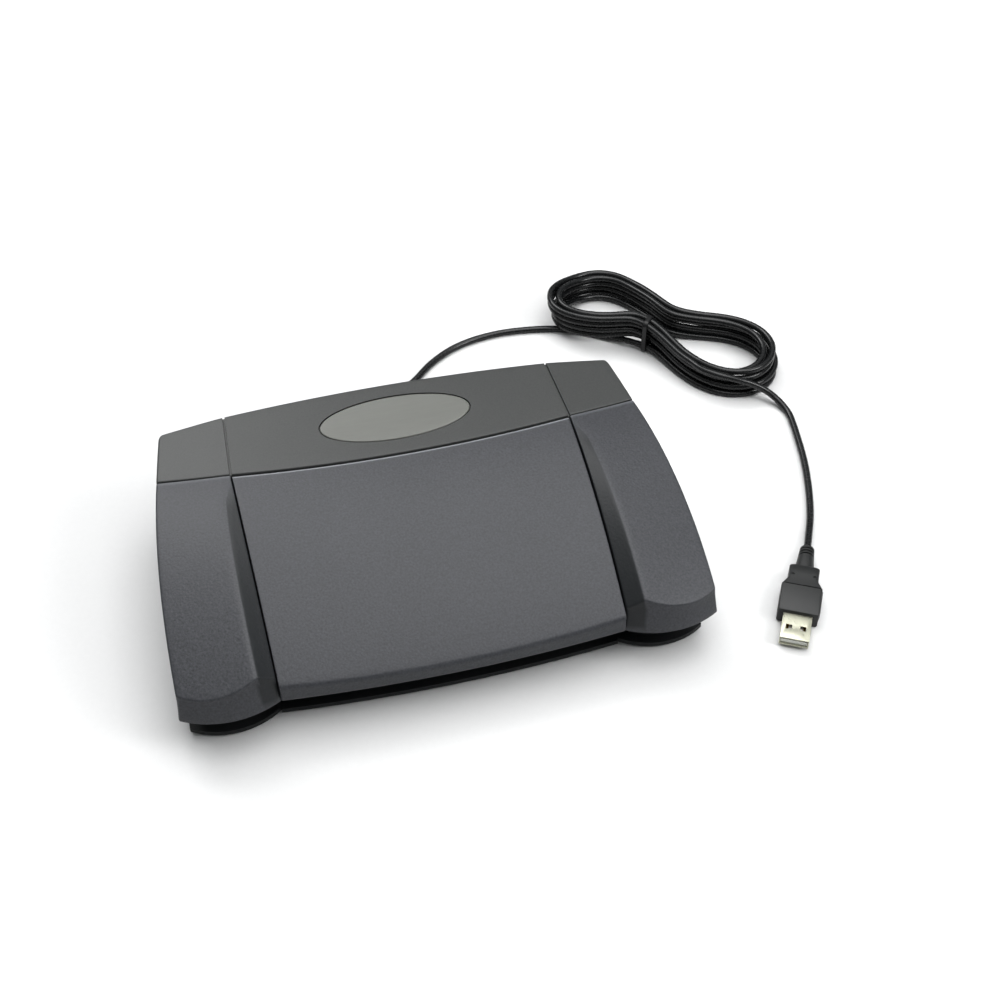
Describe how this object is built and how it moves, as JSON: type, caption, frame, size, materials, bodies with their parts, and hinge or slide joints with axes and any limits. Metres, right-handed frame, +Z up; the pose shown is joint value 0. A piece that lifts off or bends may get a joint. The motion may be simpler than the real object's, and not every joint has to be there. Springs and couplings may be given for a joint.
{
  "type": "usb foot pedal switch",
  "caption": "Low wedge-shaped foot switch: arched treadles hinged side by side under a fixed rear cover with a bare oval badge, and a hanked cord ending in a flat plug.",
  "frame": {"origin": "on the floor under the middle of the body, without the free cord", "axes": "+X to the right as the foot meets it, +Y to the rear where the cord leaves, +Z up"},
  "size_m": [0.3056, 0.2519, 0.0547],
  "materials": {
    "pedal_plastic": "fine leathery moulded grain",
    "cover_plastic": "smooth satin moulding",
    "base_plastic": "plain moulding",
    "foot_rubber": "soft matt",
    "ballast_steel": "dark zinc plate",
    "rod_steel": "ground",
    "spring_steel": "drawn wire",
    "screw_steel": "dark zinc plate",
    "badge_metal": "satin, bare",
    "board_laminate": "solder resist",
    "chip_epoxy": "moulded",
    "header_plastic": "moulded",
    "switch_plastic": "moulded",
    "plunger_plastic": "moulded",
    "boot_rubber": "soft matt",
    "cord_jacket": "soft sheen",
    "tie_plastic": "coated wire",
    "plug_plastic": "soft moulded",
    "plug_metal": "nickel plate",
    "insert_plastic": "moulded",
    "contact_plate": "gold flash"
  },
  "bodies": {
    "base": {"base_tray": "base_plastic", "rubber_feet": "foot_rubber", "weight_plate": "ballast_steel", "bump_stops": "foot_rubber", "pivot_rod": "rod_steel", "rear_cover": "cover_plastic", "badge_plate": "badge_metal", "cover_screws": "screw_steel", "left_return_spring": "spring_steel", "centre_return_springs": "spring_steel", "right_return_spring": "spring_steel", "circuit_board": "board_laminate", "board_screws": "screw_steel", "controller_chip": "chip_epoxy", "cable_header": "header_plastic", "left_switch": "switch_plastic", "centre_switch": "switch_plastic", "right_switch": "switch_plastic", "strain_relief": "boot_rubber", "inner_lead": "cord_jacket", "cord_lead": "cord_jacket", "cord_hank": "cord_jacket", "cord_tail": "cord_jacket", "cable_tie": "tie_plastic", "plug_grip": "plug_plastic", "plug_shell": "plug_metal", "plug_insert": "insert_plastic", "plug_contacts": "contact_plate"},
    "left_pedal": {"left_pedal": "pedal_plastic"},
    "left_plunger": {"left_plunger": "plunger_plastic"},
    "centre_pedal": {"centre_pedal": "pedal_plastic"},
    "centre_plunger": {"centre_plunger": "plunger_plastic"},
    "right_pedal": {"right_pedal": "pedal_plastic"},
    "right_plunger": {"right_plunger": "plunger_plastic"}
  },
  "joints": [
    {"name": "left_pedal_hinge", "type": "hinge", "parent": "base", "child": "left_pedal", "pos_m": [0, 0.044, 0.03], "axis": [1, 0, 0], "range_deg": [0, 6], "stiffness_Nm_per_rad": 3, "springref_deg": -11.46, "deforming": ["left_return_spring"]},
    {"name": "centre_pedal_hinge", "type": "hinge", "parent": "base", "child": "centre_pedal", "pos_m": [0, 0.044, 0.03], "axis": [1, 0, 0], "range_deg": [0, 6], "stiffness_Nm_per_rad": 3, "springref_deg": -11.46, "deforming": ["centre_return_springs"]},
    {"name": "right_pedal_hinge", "type": "hinge", "parent": "base", "child": "right_pedal", "pos_m": [0, 0.044, 0.03], "axis": [1, 0, 0], "range_deg": [0, 6], "stiffness_Nm_per_rad": 3, "springref_deg": -11.46, "deforming": ["right_return_spring"]},
    {"name": "left_plunger_slide", "type": "slide", "parent": "base", "child": "left_plunger", "axis": [0, 0, -1], "range_m": [0, 0.0022]},
    {"name": "centre_plunger_slide", "type": "slide", "parent": "base", "child": "centre_plunger", "axis": [0, 0, -1], "range_m": [0, 0.0022]},
    {"name": "right_plunger_slide", "type": "slide", "parent": "base", "child": "right_plunger", "axis": [0, 0, -1], "range_m": [0, 0.0022]}
  ],
  "couplings": [
    {"joint": "left_plunger_slide", "follows": "left_pedal_hinge", "m_per_rad": 0.02},
    {"joint": "centre_plunger_slide", "follows": "centre_pedal_hinge", "m_per_rad": 0.02},
    {"joint": "right_plunger_slide", "follows": "right_pedal_hinge", "m_per_rad": 0.02}
  ]
}
